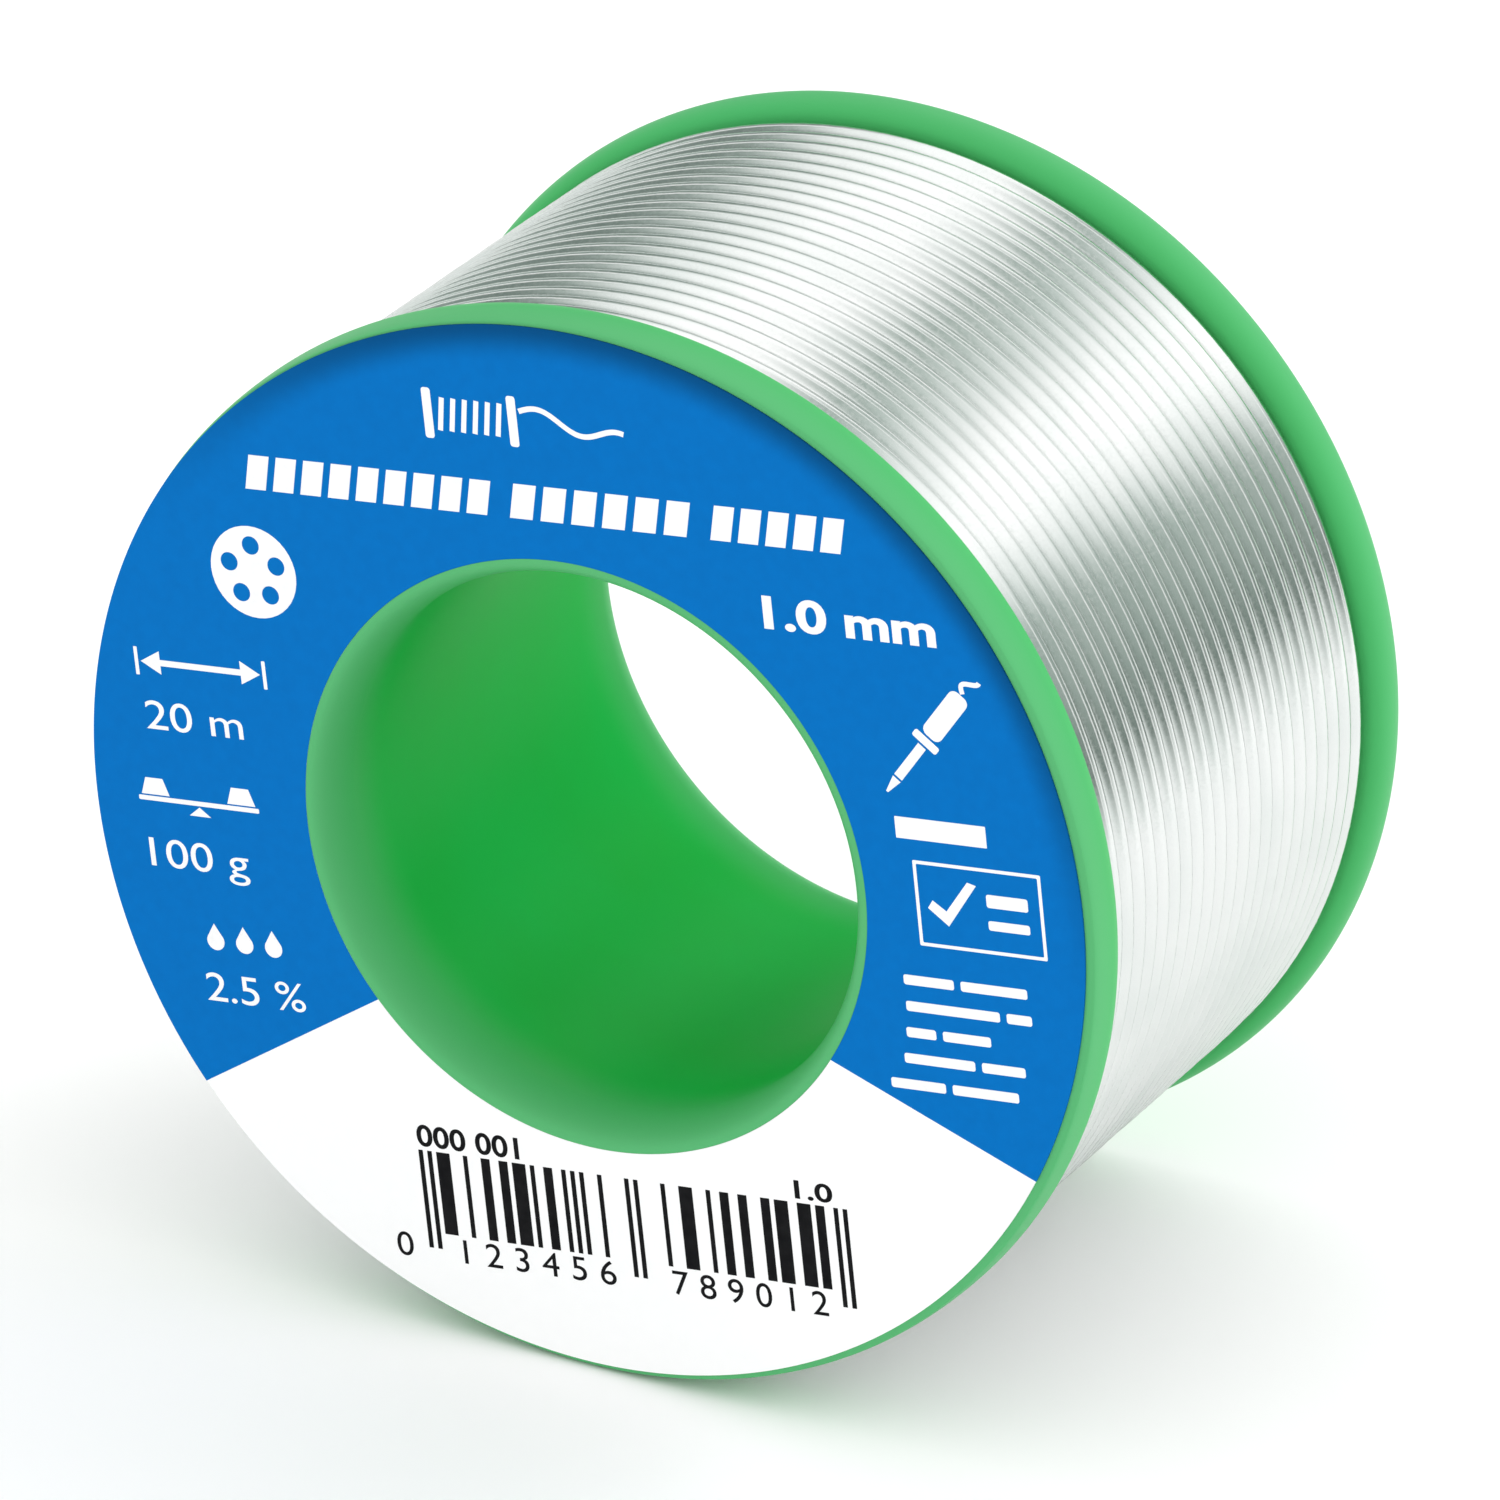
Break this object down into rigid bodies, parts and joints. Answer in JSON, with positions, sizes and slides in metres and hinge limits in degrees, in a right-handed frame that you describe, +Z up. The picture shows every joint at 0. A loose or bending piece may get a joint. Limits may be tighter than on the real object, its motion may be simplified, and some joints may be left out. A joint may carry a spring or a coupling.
{
  "type": "solder wire spool",
  "caption": "Green plastic spool with a flared bore and a round label, wound with bright solder wire, standing on the edges of its flanges.",
  "frame": {"origin": "on the ground, midway between the two flanges and straight under the spool's axis", "axes": "+Y along the spool's axis from the labelled front to the rear, +Z up, +X to the right as the label is read"},
  "size_m": [0.045, 0.027, 0.045],
  "materials": {
    "spool_plastic": "semi-gloss moulded polystyrene",
    "label_paper": "satin coated paper, printed",
    "solder_wire": "bright drawn tin alloy"
  },
  "bodies": {
    "root": {"spool_body": "spool_plastic", "front_flange": "spool_plastic", "front_label": "label_paper", "wire_layer_1": "solder_wire", "wire_layer_2": "solder_wire", "wire_layer_3": "solder_wire", "wire_layer_4": "solder_wire", "wire_layer_5": "solder_wire", "wire_layer_6": "solder_wire", "wire_layer_7": "solder_wire", "wire_layer_8": "solder_wire", "wire_start_tail": "solder_wire", "wire_end_tail": "solder_wire"}
  },
  "joints": []
}
